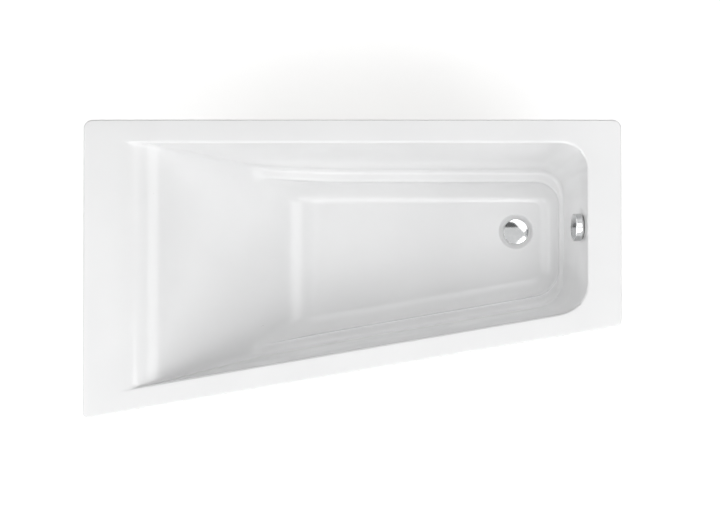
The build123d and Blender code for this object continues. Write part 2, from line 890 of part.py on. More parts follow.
with BuildPart() as cable_arm_piece:
    with BuildSketch(side_view(arm_y + cable_arm_width / 2)):
        with Locations(arm_middle):
            SlotCenterToCenter(cable_arm, 2 * lever_tip, rotation=90 - lever_turn / 2)
        with Locations((lever_x, lever_z)):
            Circle(lever_hub)
    extrude(amount=cable_arm_width)
    with BuildSketch(side_view(arm_y + cable_arm_width / 2)):
        with Locations((lever_x, lever_z)):
            Circle(axle_radius + snug_gap)
    extrude(amount=cable_arm_width, mode=Mode.SUBTRACT)
save(cable_arm_piece, "cable_arm")

with BuildPart() as lever_box_cover:
    with BuildSketch(side_view(box_open_y)):
        with Locations((lever_x, box_middle_z)):
            Rectangle(box_width, box_tall)
        with Locations(*ear_spots):
            Circle(ear_radius)
            Circle(small_screw + snug_gap, mode=Mode.SUBTRACT)
    extrude(amount=box_wall)
save(lever_box_cover, "lever_box_cover")

with BuildPart() as lever_box_screws:
    with BuildSketch(side_view(box_open_y - box_wall)):
        with Locations(*ear_spots):
            Circle(small_head)
    extrude(amount=small_head_thick)
    with BuildSketch(side_view(box_open_y - box_wall)):
        with Locations(*ear_spots):
            Circle(small_screw)
    extrude(amount=-small_screw_length)
save(lever_box_screws, "lever_box_screws")

# Trap: down from the cup, through a bend that holds water, and out towards the wall
trap_view = Plane(origin=(waste_x, drain_y, 0), x_dir=(0, 1, 0), z_dir=(1, 0, 0))
boss_low_z = trap_low - pipe_outer - plug_boss_drop
with BuildPart() as trap_bend:
    with BuildLine(trap_view) as trap_path:
        FilletPolyline(
            (0, trap_top_z),
            (0, trap_low),
            (trap_span, trap_low),
            (trap_span, trap_outlet_height),
            (trap_outlet_reach, trap_outlet_height),
            radius=trap_bend_radius,
        )
    with BuildSketch(drain_at(trap_top_z)):
        Circle(pipe_outer)
    sweep(path=trap_path.wire())
    with BuildSketch(drain_at(trap_top_z - socket_wall)):
        Circle(socket_outer)
    extrude(amount=socket_depth + socket_wall)
    with BuildSketch(Plane(origin=(waste_x, drain_y + trap_span / 2, boss_low_z))):
        Circle(plug_boss)
    extrude(amount=trap_low - boss_low_z)
    with BuildSketch(drain_at(trap_top_z)):
        Circle(pipe_bore)
    sweep(path=trap_path.wire(), mode=Mode.SUBTRACT)
    with BuildSketch(drain_at(trap_top_z)):
        Circle(pipe_outer + loose_gap)
    extrude(amount=socket_depth, mode=Mode.SUBTRACT)
    with BuildSketch(drain_at(trap_top_z)):
        Circle(pipe_bore)
    extrude(amount=-socket_wall, mode=Mode.SUBTRACT)
    with BuildSketch(Plane(origin=(waste_x, drain_y + trap_span / 2, boss_low_z))):
        Circle(plug_bore)
    extrude(amount=trap_low - boss_low_z, mode=Mode.SUBTRACT)
save(trap_bend, "trap_bend")

with BuildPart() as trap_plug:
    with BuildSketch(Plane(origin=(waste_x, drain_y + trap_span / 2, boss_low_z))):
        Circle(plug_cap_radius)
    extrude(amount=-plug_cap_thick)
    with BuildSketch(Plane(origin=(waste_x, drain_y + trap_span / 2, boss_low_z))):
        Circle(plug_bore - snug_gap)
    extrude(amount=plug_cap_spigot)
save(trap_plug, "trap_plug")

# Overflow: gasket and spoked ring inside the tub, gasket and elbow behind it
sleeve_end = laminate + thick_gasket + elbow_flange_thick + chamber_front - face_gap
spindle_guide = spindle_radius + running_gap
save(ring(overflow_at(0), inlet_flange - chamfer_small, gasket_bore, thin_gasket), "overflow_front_gasket")
behind_wall = -laminate - thick_gasket
save(ring(overflow_at(behind_wall), gasket_outer, gasket_bore, thick_gasket), "overflow_back_gasket")
save(
    spoked_ring(
        overflow_at(thin_gasket),
        inlet_flange,
        inlet_flange_thick,
        sleeve_end + thin_gasket,
        chamber_front,
        spindle_guide,
    ),
    "overflow_inlet",
)

chamber_back = behind_wall - elbow_flange_thick - chamber_depth
chamber_middle = overflow_at(behind_wall - elbow_flange_thick - chamber_depth / 2).origin
pipe_x = chamber_middle.X
elbow_end_z = chamber_middle.Z - elbow_drop
with BuildPart() as overflow_elbow:
    with BuildSketch(overflow_at(behind_wall)):
        Circle(elbow_flange)
    extrude(amount=-elbow_flange_thick)
    with BuildSketch(overflow_at(behind_wall)):
        Circle(chamber_radius)
    extrude(amount=chamber_back - behind_wall)
    with BuildSketch(Plane(origin=(pipe_x, drain_y, elbow_end_z))):
        Circle(pipe_outer)
    extrude(amount=elbow_drop)
    with BuildSketch(Plane(origin=(pipe_x, drain_y, elbow_end_z))):
        Circle(socket_outer)
    extrude(amount=socket_depth + socket_wall)
    with BuildSketch(overflow_at(behind_wall)):
        Circle(sleeve_outer + snug_gap)
    extrude(amount=-elbow_flange_thick - chamber_front, mode=Mode.SUBTRACT)
    with BuildSketch(overflow_at(behind_wall - elbow_flange_thick - chamber_front)):
        Circle(chamber_radius - chamber_wall)
    extrude(amount=chamber_front + chamber_wall - chamber_depth, mode=Mode.SUBTRACT)
    with BuildSketch(Plane(origin=(pipe_x, drain_y, elbow_end_z))):
        Circle(pipe_bore)
    extrude(amount=elbow_drop, mode=Mode.SUBTRACT)
    with BuildSketch(Plane(origin=(pipe_x, drain_y, elbow_end_z))):
        Circle(pipe_outer + loose_gap)
    extrude(amount=socket_depth, mode=Mode.SUBTRACT)
    with BuildSketch(overflow_at(chamber_back)):
        Circle(spindle_guide)
    extrude(amount=2 * chamber_wall, mode=Mode.SUBTRACT)
save(overflow_elbow, "overflow_elbow")

# Knob on a spindle that runs through the ring and the chamber to the pulley
knob_back = knob_standoff
knob_front = knob_standoff + knob_thickness
with BuildPart() as overflow_knob:
    with BuildSketch(overflow_at(knob_back)):
        Circle(knob_radius)
    extrude(amount=knob_thickness)
    face_edge = overflow_knob.edges().sort_by(Axis.X)[0]
    fillet(face_edge, knob_edge_round)
    with BuildSketch(overflow_at(knob_back)):
        Circle(knob_radius - knob_wall)
        Circle(knob_hub, mode=Mode.SUBTRACT)
    extrude(amount=knob_thickness - knob_wall, mode=Mode.SUBTRACT)
    with BuildSketch(overflow_at(knob_back)):
        Circle(spindle_radius + snug_gap)
    extrude(amount=knob_thickness - knob_wall, mode=Mode.SUBTRACT)
    with BuildSketch(Plane(origin=overflow_at(knob_back + knob_thickness / 2).origin, z_dir=(0, -1, 0))):
        Circle(grub_radius + snug_gap)
    extrude(amount=knob_hub, mode=Mode.SUBTRACT)
save(overflow_knob, "overflow_knob")

with BuildPart() as knob_screw:
    with BuildSketch(
        Plane(origin=overflow_at(knob_back + knob_thickness / 2).origin, z_dir=(0, -1, 0)).offset(
            spindle_radius + 2 * snug_gap
        )
    ):
        Circle(grub_radius)
    extrude(amount=knob_hub - spindle_radius - 1)
save(knob_screw, "knob_screw")

pulley_front = chamber_back - pulley_back_gap
pulley_middle = pulley_front - pulley_thick / 2
pulley_radius = cable_arm * lever_turn / knob_turn
with BuildPart() as spindle:
    with BuildSketch(overflow_at(knob_front - knob_wall - face_gap)):
        Circle(spindle_radius)
    extrude(amount=pulley_front - pulley_thick - (knob_front - knob_wall - face_gap) - face_gap)
save(spindle, "spindle")

with BuildPart() as cable_pulley:
    with BuildSketch(overflow_at(pulley_front)):
        Circle(pulley_rim)
    extrude(amount=-pulley_thick)
    with BuildSketch(overflow_at(pulley_middle + pulley_thick / 6)):
        Circle(pulley_rim)
        Circle(pulley_radius - pulley_thick / 12, mode=Mode.SUBTRACT)
    extrude(amount=-pulley_thick / 3, mode=Mode.SUBTRACT)
    with BuildSketch(overflow_at(pulley_front)):
        Circle(spindle_radius + snug_gap)
    extrude(amount=-pulley_thick, mode=Mode.SUBTRACT)
save(cable_pulley, "cable_pulley")

# Cap behind the chamber, over the pulley, with a boss that holds the cable's ferrule
cable_top = overflow_at(pulley_middle).origin
cable_start_y = drain_y - pulley_radius
cap_bottom_z = cable_top.Z - pulley_cap_radius
ferrule_top_z = cap_bottom_z + ferrule_seat
cable_end_z = ferrule_top_z - ferrule_length
ferrule_plane = Plane(origin=(cable_top.X, cable_start_y, ferrule_top_z))
with BuildPart() as pulley_cap:
    with BuildSketch(overflow_at(chamber_back)):
        Circle(pulley_cap_radius)
    extrude(amount=-pulley_cap_depth)
    with BuildSketch(ferrule_plane):
        Circle(ferrule_boss)
    extrude(amount=-2 * ferrule_seat)
    with BuildSketch(overflow_at(chamber_back)):
        Circle(pulley_cap_radius - pulley_cap_wall)
    extrude(amount=pulley_cap_wall - pulley_cap_depth, mode=Mode.SUBTRACT)
    with BuildSketch(ferrule_plane):
        Circle(ferrule_radius + snug_gap)
    extrude(amount=-2 * ferrule_seat, mode=Mode.SUBTRACT)
save(pulley_cap, "pulley_cap")

# Overflow pipe from the elbow down and along to the waste cup, with a union nut at each end
elbow_seat = Plane(origin=(pipe_x, drain_y, elbow_end_z), z_dir=(0, 0, -1))
inlet_seat = Plane(origin=(inlet_end_x, drain_y, inlet_z), x_dir=(0, 1, 0), z_dir=(1, 0, 0))
trap_seat = drain_at(trap_seat_z)
pipe_top = (pipe_x, drain_y, elbow_end_z + socket_depth - face_gap)
pipe_corner = (pipe_x, drain_y, inlet_z)
pipe_end = (inlet_end_x - socket_depth + face_gap, drain_y, inlet_z)
with BuildPart() as overflow_pipe:
    with BuildLine() as pipe_path:
        FilletPolyline(pipe_top, pipe_corner, pipe_end, radius=pipe_bend_radius)
    with BuildSketch(Plane(origin=pipe_top, z_dir=(0, 0, -1))):
        Circle(pipe_outer)
        Circle(pipe_bore, mode=Mode.SUBTRACT)
    sweep(path=pipe_path.wire())
save(overflow_pipe, "overflow_pipe")
save(union_nut(elbow_seat), "upper_union_nut")
save(union_nut(inlet_seat), "lower_union_nut")
save(union_nut(trap_seat), "trap_union_nut")
with BuildPart() as union_washers:
    add(union_washer(elbow_seat).part)
    add(union_washer(inlet_seat).part)
    add(union_washer(trap_seat).part)
save(union_washers, "union_washers")

# Bowden cable down beside the pipe and along to the lever box
cable_x = pipe_x
cable_y = arm_y
ferrule_end_x = box_side_x - box_wall + ferrule_length
cable_points = [
    (cable_top.X, cable_start_y, cable_end_z),
    (cable_top.X, cable_start_y, elbow_end_z - cable_leaves_drop),
    (cable_x, cable_y, elbow_end_z - cable_joins_drop),
    (cable_x, cable_y, ferrule_z),
    (ferrule_end_x, cable_y, ferrule_z),
]
with BuildPart() as bowden_cable:
    with BuildLine() as cable_path:
        FilletPolyline(*cable_points, radius=[cable_easing_radius, cable_easing_radius, cable_bend_radius])
    with BuildSketch(Plane(origin=cable_points[0], z_dir=(0, 0, -1))):
        Circle(cable_radius)
    sweep(path=cable_path.wire())
save(bowden_cable, "bowden_cable")
cable_length = cable_path.wire().length
cable_section = pi * cable_radius**2
print(f"cable: length {cable_length:.1f} mm, volume over section times length "
      f"{bowden_cable.part.volume / (cable_section * cable_length):.4f}")

with BuildPart() as cable_ferrules:
    with BuildSketch(ferrule_plane):
        Circle(ferrule_radius)
    extrude(amount=-ferrule_length)
    with BuildSketch(Plane(origin=(ferrule_end_x, arm_y, ferrule_z), x_dir=(0, 1, 0), z_dir=(1, 0, 0))):
        Circle(ferrule_radius)
    extrude(amount=-ferrule_length)
save(cable_ferrules, "cable_ferrules")

with BuildPart() as cable_clips:
    for drop in clip_drops:
        with BuildSketch(Plane.XY.offset(elbow_end_z - drop)):
            with Locations((pipe_x, drain_y)):
                Circle(pipe_outer + loose_gap + clip_wall)
            with Locations((cable_x, cable_y)):
                Circle(cable_radius + loose_gap + clip_wall)
            with Locations((pipe_x, (drain_y + cable_y) / 2)):
                Rectangle(2 * clip_wall, drain_y - cable_y)
            with Locations((pipe_x, drain_y)):
                Circle(pipe_outer + loose_gap, mode=Mode.SUBTRACT)
            with Locations((cable_x, cable_y)):
                Circle(cable_radius + loose_gap, mode=Mode.SUBTRACT)
        extrude(amount=clip_width)
save(cable_clips, "cable_clips")
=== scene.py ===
# %% [markdown]
# # A built-in space-saving bath
#
# The engineering model is loaded first and stays fixed: it says where every piece sits. This lesson adds
# what the eye sees: a smooth acrylic shell, its sprayed backing, and a finish for every part.

# %% Load the frame
import json
import math

import bpy
import numpy as np
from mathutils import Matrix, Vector


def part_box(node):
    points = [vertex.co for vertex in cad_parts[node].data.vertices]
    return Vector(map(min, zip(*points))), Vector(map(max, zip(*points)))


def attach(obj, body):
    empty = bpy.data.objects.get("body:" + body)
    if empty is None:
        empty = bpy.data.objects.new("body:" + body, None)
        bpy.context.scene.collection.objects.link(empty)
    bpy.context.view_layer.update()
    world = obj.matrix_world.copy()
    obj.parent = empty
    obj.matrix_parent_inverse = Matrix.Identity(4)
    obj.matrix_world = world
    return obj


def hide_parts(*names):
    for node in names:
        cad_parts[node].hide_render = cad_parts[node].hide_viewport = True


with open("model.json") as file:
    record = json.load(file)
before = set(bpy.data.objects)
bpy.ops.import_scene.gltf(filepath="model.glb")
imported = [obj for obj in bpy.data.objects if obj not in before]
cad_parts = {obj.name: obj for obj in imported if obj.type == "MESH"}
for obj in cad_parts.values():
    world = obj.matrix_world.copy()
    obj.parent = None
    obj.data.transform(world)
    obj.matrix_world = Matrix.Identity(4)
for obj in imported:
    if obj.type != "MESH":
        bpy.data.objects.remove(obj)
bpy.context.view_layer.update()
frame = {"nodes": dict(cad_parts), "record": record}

MM = 0.001
NODES = frame["nodes"]

# %% [markdown]
# ## The camera
#
# The photograph was taken from almost straight above, about five metres over the rim, with a long lens.
# A camera that looks down has its top edge towards +Y, so a small turn about X is the whole set-up. Seen
# from so high, the walls lean in only slightly, and that lean is what fixes the distance.

# %% Camera
IMAGE_WIDTH_PX = 720
FOCAL_PX = 1798
CAMERA_PLACE = (20.9 * MM, -81 * MM, 5590 * MM)
CAMERA_TILT = math.radians(1.37)

camera_data = bpy.data.cameras.new("bath_camera")
camera_data.sensor_width = 36
camera_data.lens = FOCAL_PX / IMAGE_WIDTH_PX * camera_data.sensor_width
camera_data.clip_end = 100
camera = bpy.data.objects.new("bath_camera", camera_data)
camera.location = CAMERA_PLACE
camera.rotation_euler = (CAMERA_TILT, 0, 0)
bpy.context.scene.collection.objects.link(camera)
bpy.context.scene.camera = camera
print("lens:", round(camera_data.lens, 1), "mm")

# %% [markdown]
# ## The inside of the bath as a formula
#
# A vacuum-formed bath is a few leaning faces that run into each other in soft rounds. Modelling it with
# polygons would mean pulling dozens of fillets by hand. Instead each face is a signed distance, below
# zero on the side of the air, and two short formulas join them: one rounds a hollow corner, the other a
# standing edge. Where the joined distance is zero, there is acrylic.

# %% Driving sizes of the basin
rim_low, rim_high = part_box("tub_shell")
RIM_Z = rim_high.z
LIP_DEPTH = 38 * MM
HEAD_FRONT_CORNER = 14 * MM
WALL_EDGE_Y = rim_high.y - 65 * MM
FOOT_EDGE_X = rim_high.x - 95 * MM
FRONT_RIM = 60 * MM
SLANT = math.radians(9.75)
CORNER_OVERSHOOT = math.tan(SLANT) + 1 / math.cos(SLANT) - 1
FRONT_CORNER_Y = rim_low.y - HEAD_FRONT_CORNER * CORNER_OVERSHOOT
WALL_LEAN, FRONT_LEAN, FOOT_LEAN = (math.radians(a) for a in (9.1, 4.1, 5.3))
LEDGE_ON_WALL, LEDGE_ON_FRONT, LEDGE_ON_FOOT = 33 * MM, 31 * MM, 10 * MM
LEDGE_Z = RIM_Z - 335 * MM
FLOOR_Z = RIM_Z - 404.7 * MM
DISH_Z = RIM_Z - 412 * MM
RIM_EDGE, LEDGE_EDGE, LEDGE_CREASE = 6 * MM, 6 * MM, 14 * MM
OPENING_CORNER, PAN_CORNER, PAN_CREASE = 75 * MM, 70 * MM, 55 * MM
CREASE_FADE, CREASE_GROWTH = 60 * MM, 75 * MM

# %% Rounded joins of two distances
def round_hollow(a, b, radius):
    """The inside of both a and b. Near their meeting line the distance is that to a circle of the radius,
    so that the corner of the air becomes an arc."""
    outside = np.hypot(np.maximum(a + radius, 0), np.maximum(b + radius, 0))
    return np.minimum(-radius, np.maximum(a, b)) + outside


def round_edge(a, b, radius):
    """The inside of either a or b, with the standing edge between them rounded by the radius."""
    inside = np.hypot(np.maximum(radius - a, 0), np.maximum(radius - b, 0))
    return np.maximum(radius, np.minimum(a, b)) - inside


def smooth_step(t):
    """Rises from 0 to 1 between t of 0 and 1, level at both ends: t squared times 3 minus 2 t."""
    t = np.clip(t, 0, 1)
    return t * t * (3 - 2 * t)

# %% [markdown]
# The long back rest rolls off the rim, runs straight and sweeps into the floor. In side view that is an
# arc, a line and an arc, so the distance is taken from whichever stretch the point faces.

# %% Backrest, sweep and floor in side view
SLOPE = math.radians(43)
ROLL_X, ROLL_RADIUS = -653 * MM, 170 * MM
ROLL_CENTRE_Z = RIM_Z - ROLL_RADIUS
ROLL_END_X = ROLL_X + ROLL_RADIUS * math.sin(SLOPE)
ROLL_END_Z = RIM_Z - ROLL_RADIUS * (1 - math.cos(SLOPE))
SWEEP_RADIUS = 200 * MM
SWEEP_TOP_Z = FLOOR_Z + SWEEP_RADIUS * (1 - math.cos(SLOPE))
SWEEP_X = ROLL_END_X + (ROLL_END_Z - SWEEP_TOP_Z) / math.tan(SLOPE) + SWEEP_RADIUS * math.sin(SLOPE)
SWEEP_CENTRE_Z = FLOOR_Z + SWEEP_RADIUS


def back_and_floor(x, z):
    """Distance below the side profile: outside the roll's circle while the point faces it, above the
    sloping line, inside the sweep's circle while the point faces that, and above the floor past it."""
    slope = (ROLL_END_X - x) * math.sin(SLOPE) + (ROLL_END_Z - z) * math.cos(SLOPE)
    roll_x, roll_z = x - ROLL_X, z - ROLL_CENTRE_Z
    on_roll = (roll_x > 0) & (roll_x * math.cos(SLOPE) < roll_z * math.sin(SLOPE))
    roll = ROLL_RADIUS - np.hypot(roll_x, roll_z)
    sweep_x, sweep_z = SWEEP_X - x, SWEEP_CENTRE_Z - z
    on_sweep = (sweep_x > 0) & (sweep_x * math.cos(SLOPE) < sweep_z * math.sin(SLOPE))
    sweep = np.hypot(sweep_x, sweep_z) - SWEEP_RADIUS
    distance = np.where(roll_x <= 0, RIM_Z - z, slope)
    distance = np.where(on_roll, roll, distance)
    distance = np.where(on_sweep, sweep, distance)
    return np.where(sweep_x <= 0, FLOOR_Z - z, distance)

# %% [markdown]
# A ledge for the arms runs round the pan. It starts part way down the back rest and drops on a very
# large arc until it is level. Below it the pan's walls stand a hand's breadth further in.

# %% Ledge, walls and the whole basin
LEDGE_START_Z = RIM_Z - 283 * MM
LEDGE_START_X = ROLL_END_X + (ROLL_END_Z - LEDGE_START_Z) / math.tan(SLOPE)
LEDGE_LEVEL_X = 60 * MM
LEDGE_RISE = LEDGE_START_Z - LEDGE_Z
LEDGE_RADIUS = ((LEDGE_LEVEL_X - LEDGE_START_X) ** 2 + LEDGE_RISE**2) / (2 * LEDGE_RISE)


def above_ledge(x, z):
    """Inside a lying cylinder of the ledge's radius before it is level, and above a plane after that."""
    curved = np.hypot(x - LEDGE_LEVEL_X, z - LEDGE_Z - LEDGE_RADIUS) - LEDGE_RADIUS
    return np.where(x < LEDGE_LEVEL_X, curved, LEDGE_Z - z)


def inside_walls(x, y, z, in_wall, in_front, in_foot, corner):
    """Inside the three leaning walls, each moved inwards by its own amount. Each is a plane's distance: the
    way outwards times the lean's cosine, plus the depth times its sine. The foot's corners are rounded."""
    depth = RIM_Z - z
    wall = (y - WALL_EDGE_Y) * math.cos(WALL_LEAN) + depth * math.sin(WALL_LEAN) + in_wall
    foot = (x - FOOT_EDGE_X) * math.cos(FOOT_LEAN) + depth * math.sin(FOOT_LEAN) + in_foot
    outwards = (x - rim_low.x) * math.sin(SLANT) - (y - FRONT_CORNER_Y) * math.cos(SLANT) + FRONT_RIM
    front = outwards * math.cos(FRONT_LEAN) + depth * math.sin(FRONT_LEAN) + in_front
    return round_hollow(round_hollow(wall, foot, corner), front, corner)


def basin(x, y, z):
    """Distance to the acrylic, below zero in the air: the upper walls and the ledge, opened by the pan,
    are joined to the rim by a rounded edge and to the back rest by a crease that widens downwards."""
    pan = inside_walls(x, y, z, LEDGE_ON_WALL, LEDGE_ON_FRONT, LEDGE_ON_FOOT, PAN_CORNER)
    shelf = round_edge(above_ledge(x, z), pan, LEDGE_EDGE)
    upper = inside_walls(x, y, z, 0, 0, 0, OPENING_CORNER)
    sides = round_edge(RIM_Z - z, round_hollow(upper, shelf, LEDGE_CREASE), RIM_EDGE)
    fade = smooth_step((RIM_Z - z) / CREASE_FADE)
    widen = smooth_step((LEDGE_START_Z - z) / CREASE_GROWTH)
    crease = LEDGE_CREASE * fade + (PAN_CREASE - LEDGE_CREASE) * widen
    return round_hollow(sides, back_and_floor(x, z), crease)

# %% [markdown]
# The floor has a shallow round seat for the waste, so that the flange lies below the floor and the water
# runs to it. It is a smooth step in the distance from the waste's axis.

# %% Height of the acrylic at any place
drain_low, drain_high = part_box("waste_flange")
DRAIN = np.array([(drain_low.x + drain_high.x) / 2, (drain_low.y + drain_high.y) / 2])
DISH_FLAT, DISH_OUTER, DRAIN_HOLE = 42 * MM, 54 * MM, 26 * MM
SEARCH_DEPTH = 440 * MM
HALVINGS = 27


def height(x, y):
    """The height where the basin's distance is zero, found by halving, since the air is always above it."""
    low = np.full(x.shape, RIM_Z - SEARCH_DEPTH)
    high = np.full(x.shape, RIM_Z)
    for _ in range(HALVINGS):
        middle = (low + high) / 2
        air = basin(x, y, middle) < 0
        high = np.where(air, middle, high)
        low = np.where(air, low, middle)
    z = (low + high) / 2
    from_drain = np.hypot(x - DRAIN[0], y - DRAIN[1])
    seat = 1 - smooth_step((from_drain - DISH_FLAT) / (DISH_OUTER - DISH_FLAT))
    return z + (DISH_Z - FLOOR_Z) * seat


print("height of the seat:", round(float(height(DRAIN[:1], DRAIN[1:])[0]), 4))

# %% [markdown]
# ## The shell as a grid
#
# Every column of the grid starts at the lip, climbs over the rounded outer edge, crosses the rim and the
# wall and ends at the drain hole. Seen from above, a column is two straight lines that meet on an oval
# inside the basin. The rows aren't evenly spaced: more of them lie where the surface bends, so that
# narrow rounds are smooth and large plain faces stay light.

# %% Rounded four-sided rings
def ring(inset, radii, counts):
    """Points round the slanted outline, each side (wall, head, front, foot) moved inwards by its own inset.
    The corners are where the moved sides cross. Each arc's centre lies on its corner's bisector, at the
    radius over the sine of half the angle, and the arc ends on the two sides."""
    wall, head, front, foot = inset
    tan = math.tan(SLANT)
    front_y = FRONT_CORNER_Y + front / math.cos(SLANT)
    left, right, top = rim_low.x + head, rim_high.x - foot, rim_high.y - wall
    corners = np.array([(right, top), (left, top), (left, front_y + (left - rim_low.x) * tan),
                        (right, front_y + (right - rim_low.x) * tan)])
    ends, middles = [], []
    for k in range(4):
        here, before, after = corners[k], corners[k - 1], corners[(k + 1) % 4]
        to_before = (before - here) / np.linalg.norm(before - here)
        to_after = (after - here) / np.linalg.norm(after - here)
        half = math.acos(float(to_before @ to_after)) / 2
        bisector = (to_before + to_after) / np.linalg.norm(to_before + to_after)
        centre = here + bisector * radii[k] / math.sin(half)
        reach = radii[k] / math.tan(half)
        start, stop = here + to_before * reach, here + to_after * reach
        angle_0 = math.atan2(*(start - centre)[::-1])
        turn = math.pi - 2 * half
        turns = angle_0 + turn * (np.arange(counts[2 * k]) / counts[2 * k])
        middles.append(centre + radii[k] * np.stack([np.cos(turns), np.sin(turns)], axis=1))
        ends.append((start, stop))
    points = []
    for k in range(4):
        share = (np.arange(counts[2 * k + 1]) / counts[2 * k + 1])[:, None]
        points += [middles[k], ends[k][1] * (1 - share) + ends[(k + 1) % 4][0] * share]
    return np.concatenate(points)


FULL_COUNTS = (24, 124, 20, 56, 20, 124, 24, 56)
OUTER_RADII = (25 * MM, 25 * MM, HEAD_FRONT_CORNER, 20 * MM)
INNER_INSET = (205 * MM, 120 * MM, 168 * MM, 195 * MM)
INNER_RADII = (45 * MM,) * 4
EDGE_ROUND = 5.5 * MM


def outline(inset, counts):
    """The rim's outline moved inwards all round by one distance."""
    return ring((inset,) * 4, [radius - inset for radius in OUTER_RADII], counts)


print("columns:", len(outline(0, FULL_COUNTS)))

# %% Plan of the columns and the spacing of the rows
FINE_TO_RING, FINE_TO_DRAIN = 620, 420
SAMPLED_COLUMNS = 112
BEND_WEIGHT = 0.085
BLUR_COLUMNS, BLUR_REACH = 2.0, 6
DIRECTION_SHARE = 0.6


def plan(counts):
    """For each column: its point inside the outer edge, on the inner ring and on the drain hole. The angle
    on the hole mixes the direction to the ring's point with an even share of the circle."""
    start = outline(EDGE_ROUND, counts)
    bend = ring(INNER_INSET, INNER_RADII, counts)
    away = bend - DRAIN
    direction = np.unwrap(np.arctan2(away[:, 1], away[:, 0]))
    even = direction[0] + 2 * math.pi * np.arange(len(bend)) / len(bend)
    angle = DIRECTION_SHARE * direction + (1 - DIRECTION_SHARE) * even
    hole = DRAIN + DRAIN_HOLE * np.stack([np.cos(angle), np.sin(angle)], axis=1)
    return start, bend, hole


def along(start, bend, hole, t):
    """The plan point at t: from start to bend while t goes from 0 to 1, and on to the hole until t is 2."""
    first, second = np.clip(t, 0, 1)[..., None], np.clip(t - 1, 0, 1)[..., None]
    return start + (bend - start) * first + (hole - bend) * second


def row_places(start, bend, hole, rows):
    """Where the rows lie on each column. The cost of a stretch is its length plus a weight times the angle
    that it turns through, and every row gets the same share of the whole cost. It is worked out on some of
    the columns, spread to all, and softened from column to column with a bell curve."""
    to_ring = np.linspace(0, 1, FINE_TO_RING, endpoint=False)
    t = np.concatenate([to_ring, np.linspace(1, 2, FINE_TO_DRAIN)])
    pick = np.linspace(0, len(start), SAMPLED_COLUMNS, endpoint=False).astype(int)
    a, b, c = (points[pick][:, None, :] for points in (start, bend, hole))
    flat = along(a, b, c, np.broadcast_to(t, (len(pick), len(t))))
    line = np.concatenate([flat, height(flat[..., 0], flat[..., 1])[..., None]], axis=-1)
    step = np.diff(line, axis=1)
    length = np.linalg.norm(step, axis=-1)
    heading = np.arctan2(step[..., 2], np.linalg.norm(step[..., :2], axis=-1))
    bent = np.abs(np.diff(heading, axis=1, prepend=heading[:, :1]))
    cost = np.cumsum(length + BEND_WEIGHT * bent, axis=1)
    cost = np.concatenate([np.zeros((len(pick), 1)), cost], axis=1)
    share = np.linspace(0, 1, rows)
    places = np.stack([np.interp(share, row / row[-1], t) for row in cost])
    known, closed = np.append(pick, len(start)), np.vstack([places, places[:1]])
    every = np.arange(len(start))
    whole = np.stack([np.interp(every, known, closed[:, j]) for j in range(rows)], axis=1)
    offsets = np.arange(-BLUR_REACH, BLUR_REACH + 1)
    kernel = np.exp(-0.5 * (offsets / BLUR_COLUMNS) ** 2)
    kernel /= kernel.sum()
    return sum(weight * np.roll(whole, int(k), axis=0) for k, weight in zip(offsets, kernel))


def basin_grid(counts, rows):
    """The grid from just inside the outer edge to the drain hole, as columns by rows by three."""
    start, bend, hole = plan(counts)
    t = row_places(start, bend, hole, rows)
    flat = along(start[:, None, :], bend[:, None, :], hole[:, None, :], t)
    return np.concatenate([flat, height(flat[..., 0], flat[..., 1])[..., None]], axis=-1)

# %% [markdown]
# The lip is the same outline carried down, and the outer edge a quarter circle between lip and rim. The
# two grids share their columns, so they join without a seam. Solidify then gives the sheet its thickness.

# %% Build the shell
def outline_ring(counts, inset, z):
    """The outline at one inset and one height."""
    points = outline(inset, counts)
    return np.column_stack([points, np.full(len(points), z)])


def lip_grid(counts, low, steps, arcs):
    """Rings from the bottom of the lip up to the rim: level rings on the lip, then a quarter circle whose
    inset is the radius less its cosine share and whose height rises with its sine."""
    edge_z = RIM_Z - EDGE_ROUND
    rows = [outline_ring(counts, 0, z) for z in np.linspace(low, edge_z, steps, endpoint=False)]
    for turn in np.linspace(0, math.pi / 2, arcs, endpoint=False):
        inset = EDGE_ROUND * (1 - math.cos(turn))
        rows.append(outline_ring(counts, inset, edge_z + EDGE_ROUND * math.sin(turn)))
    return np.stack(rows, axis=1)


def sheet_object(name, grid):
    """A mesh from a grid that closes on itself across its columns."""
    columns, rows = grid.shape[:2]
    index = np.arange(columns * rows).reshape(columns, rows)
    beside = np.roll(index, -1, axis=0)
    faces = np.stack([index[:, :-1], index[:, 1:], beside[:, 1:], beside[:, :-1]], axis=-1).reshape(-1, 4)
    mesh = bpy.data.meshes.new(name)
    mesh.from_pydata(grid.reshape(-1, 3), [], faces)
    mesh.validate()
    mesh.polygons.foreach_set("use_smooth", np.ones(len(mesh.polygons), bool))
    made = bpy.data.objects.new(name, mesh)
    bpy.context.scene.collection.objects.link(made)
    return made


def outward_up(made):
    """Turns the faces over if the sheet looks down instead of up."""
    normals = np.empty(len(made.data.polygons) * 3)
    made.data.polygons.foreach_get("normal", normals)
    if normals.reshape(-1, 3)[:, 2].sum() < 0:
        made.data.flip_normals()


SHEET = 5 * MM
SHELL_ROWS, LIP_STEPS, EDGE_STEPS = 96, 4, 6
lip = lip_grid(FULL_COUNTS, RIM_Z - LIP_DEPTH, LIP_STEPS, EDGE_STEPS)
shell_grid = np.concatenate([lip, basin_grid(FULL_COUNTS, SHELL_ROWS)], axis=1)
shell = sheet_object("bath_shell", shell_grid)
outward_up(shell)


def thicken(made, thickness):
    """Gives a sheet its thickness below its surface and evens the shading across narrow rounds."""
    solid = made.modifiers.new("thickness", "SOLIDIFY")
    solid.thickness = thickness
    solid.offset = -1
    solid.use_even_offset = False
    weighted = made.modifiers.new("shading", "WEIGHTED_NORMAL")
    weighted.keep_sharp = True


thicken(shell, SHEET)
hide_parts("tub_shell")
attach(shell, "tub")
print("shell grid:", shell_grid.shape)

